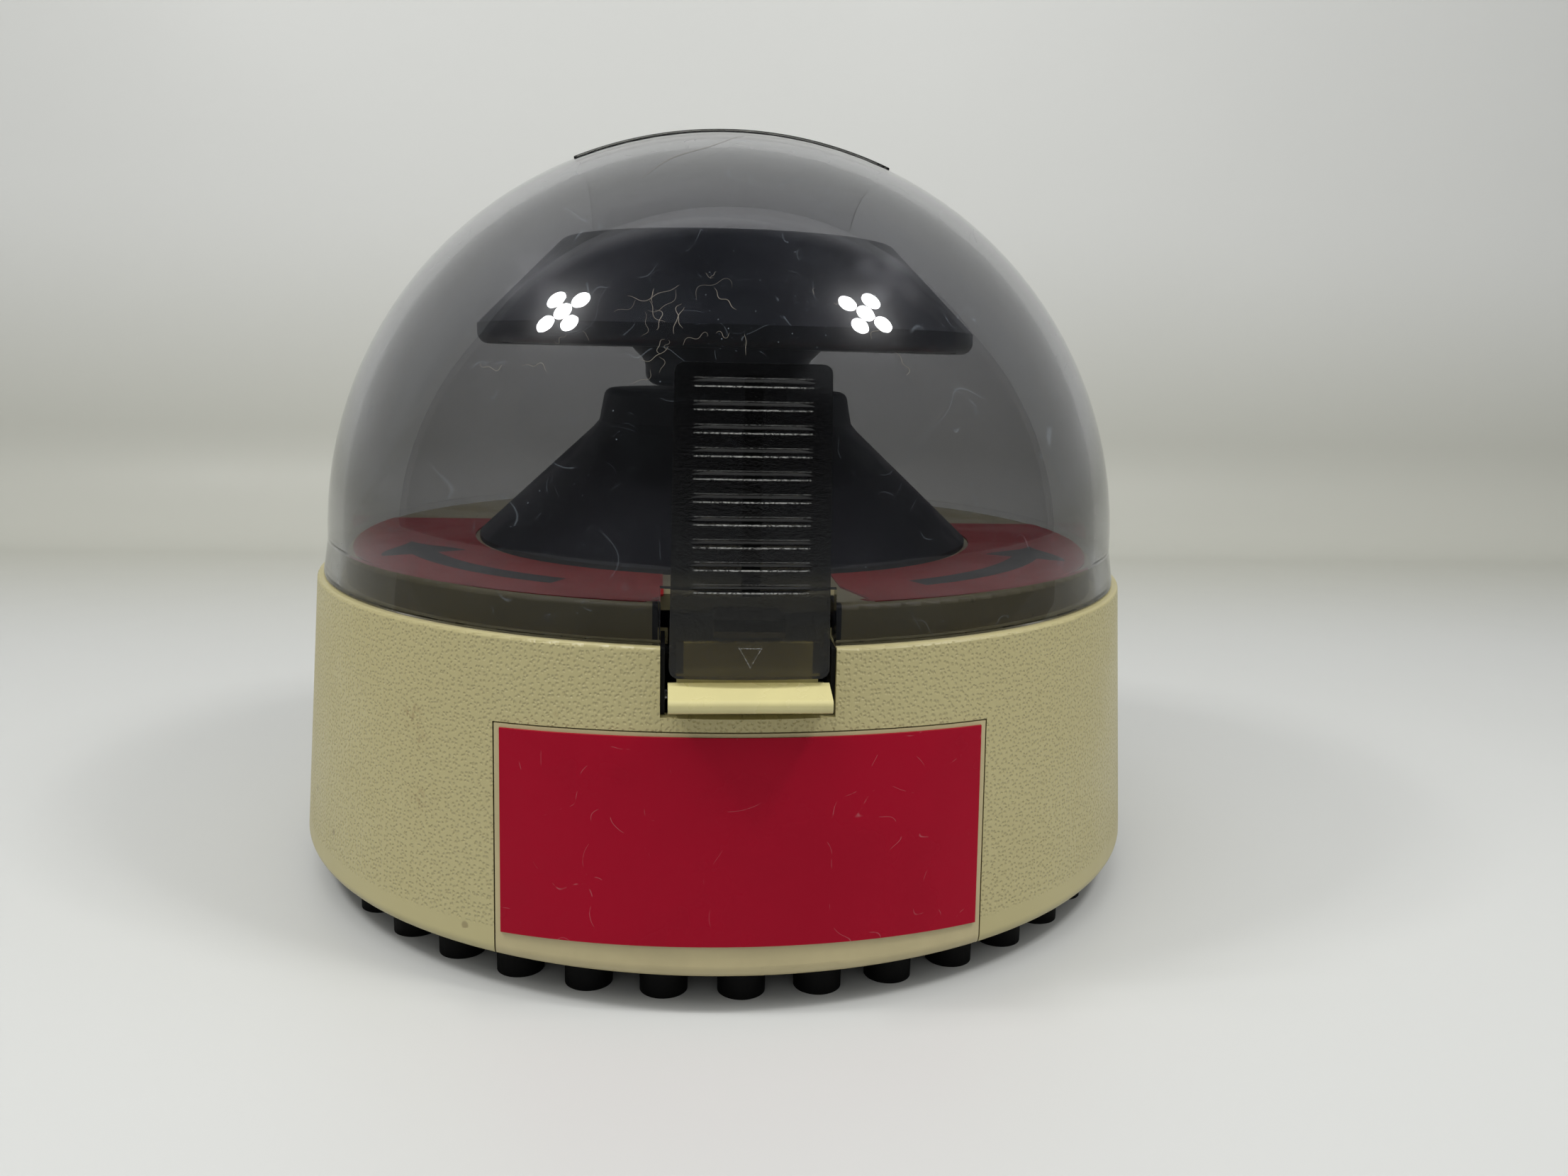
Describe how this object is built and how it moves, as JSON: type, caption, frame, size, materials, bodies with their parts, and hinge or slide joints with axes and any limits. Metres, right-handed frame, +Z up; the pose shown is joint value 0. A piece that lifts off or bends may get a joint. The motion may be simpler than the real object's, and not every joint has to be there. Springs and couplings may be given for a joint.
{
  "type": "mini centrifuge",
  "caption": "Round bench mini centrifuge: hinged smoked dome lid with a ribbed grip tongue, spinning tube rotor on a motor tower, tapered base with press latch and studded rubber feet.",
  "frame": {"origin": "on the rotor's axis, on the surface the feet stand on", "axes": "+Z up along the rotor's axis, the front with the nameplate and release ledge faces -Y, the lid's hinge is at +Y"},
  "size_m": [0.1524, 0.156, 0.1294],
  "materials": {
    "cream_plastic": "fine grain, satin gloss",
    "red_label": "semi-gloss printed film",
    "black_plastic": "fine matt",
    "rotor_black": "satin",
    "smoke_clear": "clear smoke-grey moulded plastic, glossy",
    "black_film": "matt film",
    "foot_rubber": "matt",
    "steel": "plain",
    "motor_steel": "zinc plated",
    "bronze": "sintered",
    "board_green": "solder resist"
  },
  "bodies": {
    "base": {"base_housing": "cream_plastic", "front_panel": "cream_plastic", "nameplate": "red_label", "deck": "cream_plastic", "deck_label": "red_label", "motor_tower": "black_plastic", "bottom_plate": "black_plastic", "rubber_feet": "foot_rubber", "case_screws": "steel", "hinge_pin": "steel", "latch_frame": "black_plastic", "latch_pin": "steel", "latch_springs": "steel", "motor_can": "motor_steel", "motor_end_bell": "black_plastic", "motor_bracket": "motor_steel", "motor_grommets": "foot_rubber", "motor_screws": "steel", "motor_bearings": "bronze", "circuit_board": "board_green", "board_parts": "black_plastic", "power_inlet": "black_plastic", "inlet_nut": "steel", "lid_switch": "black_plastic"},
    "lid": {"dome": "smoke_clear", "lid_tongue": "smoke_clear", "top_sheet": "black_film"},
    "rotor": {"rotor_body": "rotor_black", "rotor_hub": "rotor_black", "rotor_knob": "rotor_black", "motor_shaft": "steel", "motor_armature": "motor_steel"},
    "latch": {"latch_lever": "cream_plastic"},
    "switch": {"switch_plunger": "cream_plastic"}
  },
  "joints": [
    {"name": "lid_hinge", "type": "hinge", "parent": "base", "child": "lid", "pos_m": [0, 0.0751, 0.05], "axis": [-1, 0, 0], "range_deg": [0, 100]},
    {"name": "rotor_spin", "type": "hinge", "parent": "base", "child": "rotor", "pos_m": [0, 0, 0.1], "axis": [0, 0, 1], "continuous": true},
    {"name": "latch_press", "type": "hinge", "parent": "base", "child": "latch", "pos_m": [0, -0.0672, 0.044], "axis": [1, 0, 0], "range_deg": [0, 7.2], "stiffness_Nm_per_rad": 0.25, "springref_deg": -2.86, "deforming": ["latch_springs"]},
    {"name": "switch_press", "type": "slide", "parent": "base", "child": "switch", "axis": [0, 0, -1], "range_m": [0, 0.0015], "stiffness_N_per_m": 150, "springref_m": -0.001}
  ]
}
